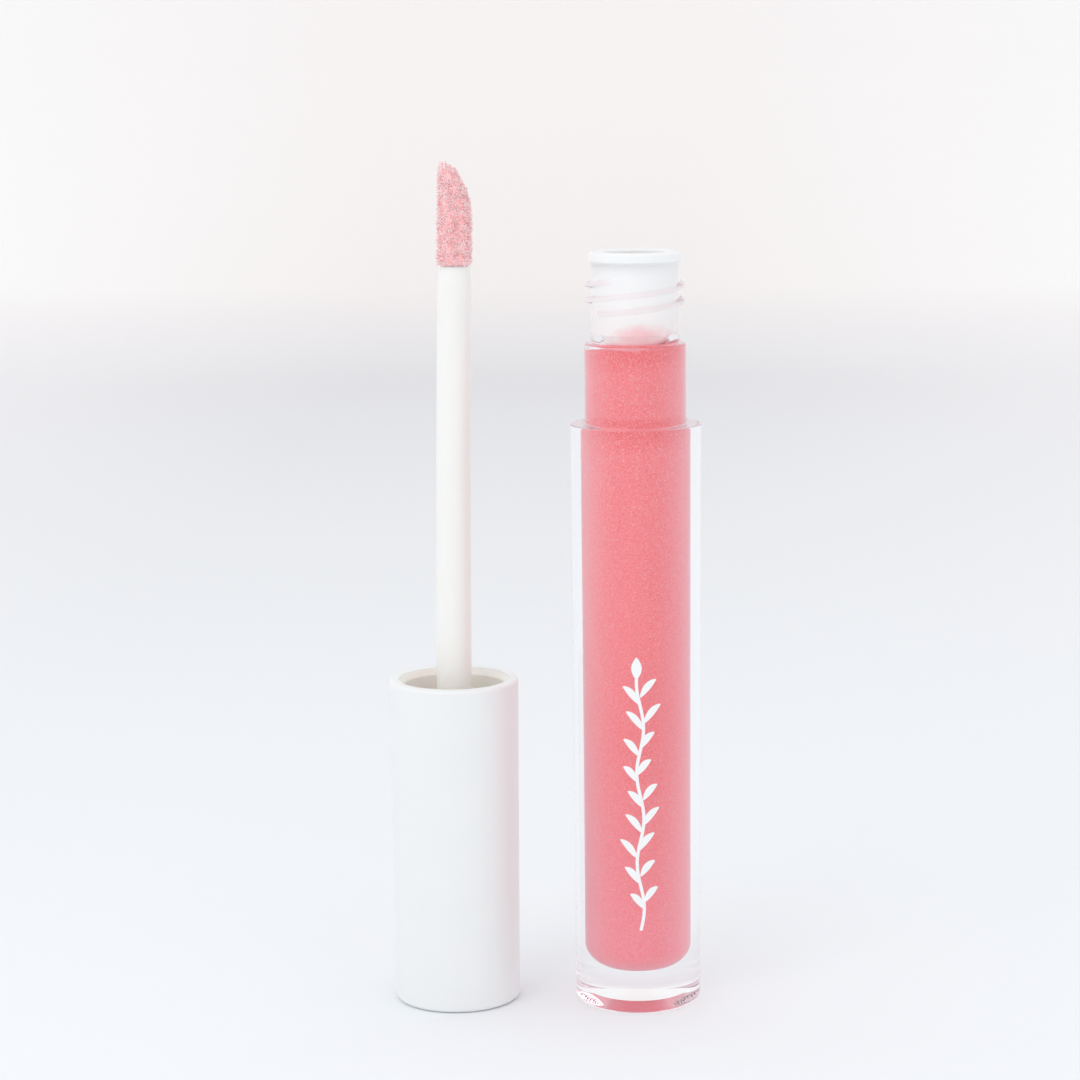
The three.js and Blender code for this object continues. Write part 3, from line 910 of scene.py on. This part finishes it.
def fibres(count, radius, length, thickness):
    """Short bent fibres, each a three-sided prism that narrows to its end."""
    spread, upward, clumping, least_outward, bending = 0.5, 0.25, 0.28, 0.55, 0.28
    tuft_share, tuft_stretch, tuft_way = 0.3, 1.6, (-0.5, 0.0, 0.87)
    roots, normals = surface_points(count, radius)
    total = len(roots)
    lean = rng.normal(size=(total, 3)) * spread
    lean[:, 2] += upward
    clump = np.sin(roots * 4.2 + 1.7) * clumping
    ahead = normals + lean + clump
    ahead -= normals * np.minimum((ahead * normals).sum(1) - least_outward, 0)[:, None]
    ahead /= np.linalg.norm(ahead, axis=1)[:, None]
    bend = rng.normal(size=(total, 3)) * bending
    long = length * rng.uniform(0.75, 1.15, total)[:, None]
    at_peak = (roots[:, 0] < -0.9) & (roots[:, 2] > TIP_TOP - 1.3)
    tuft = at_peak & (rng.random(total) < tuft_share)
    long[tuft] *= tuft_stretch
    ahead[tuft] = tuft_way + rng.normal(size=(tuft.sum(), 3)) * 0.2
    side = np.cross(ahead, rng.normal(size=(total, 3)))
    side /= np.linalg.norm(side, axis=1)[:, None]
    other = np.cross(ahead, side)
    vertices = []
    stages = ((-0.15, 1.0, 0.0), (0.5, 0.95, 0.25), (1.0, 0.5, 1.0))
    for along, size, bent in stages:
        middle = roots + ahead * long * along + bend * long * bent * 0.5
        for corner in range(3):
            turn = corner * 2 * math.pi / 3
            out = side * math.cos(turn) + other * math.sin(turn)
            vertices.append(middle + out * thickness * size)
    rings = np.stack(vertices, 1)
    rings[:, :, 2] = np.clip(rings[:, :, 2], TIP_FOOT - 0.05, TIP_TOP + 0.45)
    rings[:, :, 0] += WAND_X
    sides = []
    for ring in range(2):
        for a in range(3):
            b = (a + 1) % 3
            sides.append((3 * ring + a, 3 * ring + b, 3 * ring + 3 + b, 3 * ring + 3 + a))
    faces = []
    for start in range(0, total * 9, 9):
        faces += [[start + c for c in side] for side in sides]
        faces.append([start + 6, start + 7, start + 8])
        faces.append([start + 2, start + 1, start])
    return rings.reshape(-1, 3), faces


def tip_core():
    """The soft core inside the flock, with the plug that holds it in the stem."""
    low, radius = height_of("applicator_core", top=False), 1.2
    body, body_faces = tip_skin(TIP_RADIUS - CORE_DEPTH)
    plug = turned("plug", WAND_X, held([
        (0, low),
        *arc(radius - 0.3, low + 0.3, 0.3, -90, 0, 4),
        (radius, TIP_FOOT + 0.3),
        (0, TIP_FOOT + 0.3),
    ]), 48)
    core = new_object("tip_core", body, body_faces)
    with bpy.context.temp_override(active_object=core, selected_editable_objects=[core, plug]):
        bpy.ops.object.join()
    bow(core)
    return part(core, "wand", "applicator_core", soft_core())


def applicator():
    skin = new_object("flock_base", *tip_skin(TIP_RADIUS - SKIN_DEPTH))
    bow(skin)
    # The skin is painted a deeper pink than the fibres: painted shade in the gaps between them.
    part(skin, "wand", "applicator_flock",
         flock_fibre("flock_base", (1.0, 0.38, 0.39), (1.0, 0.58, 0.59), (1.0, 0.70, 0.70), 0.5))
    roots = TIP_RADIUS - FIBRE_ROOT_DEPTH
    strands = fibres(FIBRES, roots, FIBRE_LENGTH, FIBRE_THICKNESS)
    hair = new_object("flock_fibres", *strands, smooth=False)
    bow(hair)
    part(hair, "wand", None,
         flock_fibre("flock_fibres", (1.0, 0.46, 0.46), (1.0, 0.76, 0.77), (1.0, 0.96, 0.96), 0.3))
    tip_core()


# ---- The studio ----

WORLD_STRENGTH = 1.0  # nearly all the light is soft and comes from everywhere
KEY_POWER = 0.6
KEY_SIZE = 380
KEY_PLACE = (-330, -470, 470)
KEY_TARGET = (0, 0, 50)
# The painted shade on the sweep is centred on this line.
WALL_MIDDLE = -49  # where the camera's view meets the wall, along X
CAMERA_PLACE = (20.61, -381.3, 124.62)
CAMERA_TURN = 3.167  # to the left, in degrees
CAMERA_TILT = 9.352  # downwards
CAMERA_ROLL = -0.578
SENSOR_WIDTH = 36
FOCAL_LENGTH = 98.82


def floor_and_wall():
    """One pale sweep: a floor, just under the object, that curves up into a wall behind it.
    Painted shade darkens it far off and low in the middle; painted light makes the wall paler
    higher up and to the sides.
    """
    back, bend, wide, front, tall = 870.0, 120.0, 1600.0, 1200.0, 900.0
    gap = 0.03
    section = [(-front, 0.0)]
    section += [(y, 0.0) for y in np.linspace(-400, back - bend, 24)]
    section += [
        (back - bend + bend * math.sin(a), bend - bend * math.cos(a))
        for a in np.linspace(0, math.pi / 2, 12)[1:]
    ]
    section.append((back, tall))
    vertices = [(x, y, z - gap) for y, z in section for x in (-wide, wide)]
    faces = [[2 * i, 2 * i + 1, 2 * i + 3, 2 * i + 2] for i in range(len(section) - 1)]
    sweep = new_object("studio_sweep", vertices, faces)
    n = Nodes("studio_sweep")
    place = n.add("SeparateXYZ", Vector=n.place())
    # Painted light and shade: the floor darkens with distance and towards the middle, and the wall
    # is darker low in the middle and lighter higher up and to the sides.
    across = n.maths("ABSOLUTE", n.maths("SUBTRACT", place.outputs["X"], WALL_MIDDLE * MM))
    side = n.ramp(across, 60 * MM, 240 * MM)
    far = n.ramp(place.outputs["Y"], -100 * MM, 700 * MM)
    up = n.ramp(place.outputs["Z"], 0, 30 * MM)
    far_floor_painted_shade = n.mix(side, (0.785, 0.788, 0.805), (0.90, 0.89, 0.905))
    floor_colour = n.mix(far, (0.90, 0.925, 0.945), far_floor_painted_shade)
    high = n.ramp(place.outputs["Z"], 30 * MM, 110 * MM)
    wall_middle_painted_shade = n.mix(high, (0.935, 0.89, 0.87), (0.99, 0.945, 0.925))
    wall_side = n.mix(high, (0.99, 0.98, 0.965), (1.0, 0.99, 0.98))
    wall_colour = n.mix(n.maths("MULTIPLY", side, up), wall_middle_painted_shade, wall_side)
    colour = n.mix(up, floor_colour, wall_colour)
    sweep.data.materials.append(
        n.finish(n.principled(Base_Color=colour, Roughness=0.75, Specular_IOR_Level=0.2))
    )


def soft_light():
    """Light from everywhere, and one large soft lamp at the upper left in front."""
    world = bpy.data.worlds.new("studio")
    world.use_nodes = True
    background = world.node_tree.nodes["Background"]
    background.inputs["Color"].default_value = (0.97, 0.98, 1, 1)
    background.inputs["Strength"].default_value = WORLD_STRENGTH
    bpy.context.scene.world = world
    lamp = bpy.data.lights.new("key", "AREA")
    lamp.size = KEY_SIZE * MM
    lamp.energy = KEY_POWER
    made = bpy.data.objects.new("key", lamp)
    bpy.context.scene.collection.objects.link(made)
    place, target = Vector(KEY_PLACE) * MM, Vector(KEY_TARGET) * MM
    made.location = place
    made.rotation_mode = "QUATERNION"
    made.rotation_quaternion = (target - place).to_track_quat("-Z", "Y")


def camera():
    """Fitted to the tube's rims and feet, so that it looks from the reference viewing angle."""
    lens = bpy.data.cameras.new("camera")
    lens.sensor_width = SENSOR_WIDTH
    lens.lens = FOCAL_LENGTH
    lens.clip_start, lens.clip_end = 0.01, 20
    made = bpy.data.objects.new("camera", lens)
    bpy.context.scene.collection.objects.link(made)
    made.matrix_world = (
        Matrix.Translation(Vector(CAMERA_PLACE) * MM)
        @ Matrix.Rotation(math.radians(CAMERA_TURN), 4, "Z")
        @ Matrix.Rotation(math.radians(90 - CAMERA_TILT), 4, "X")
        @ Matrix.Rotation(math.radians(CAMERA_ROLL), 4, "Z")
    )
    bpy.context.scene.camera = made


bottle()
wiper()
gloss()
sprig()
cap_shell()
cap_liner()
seal_washer()
stem()
applicator()
floor_and_wall()
soft_light()
camera()
bpy.context.scene.view_settings.view_transform = "Standard"
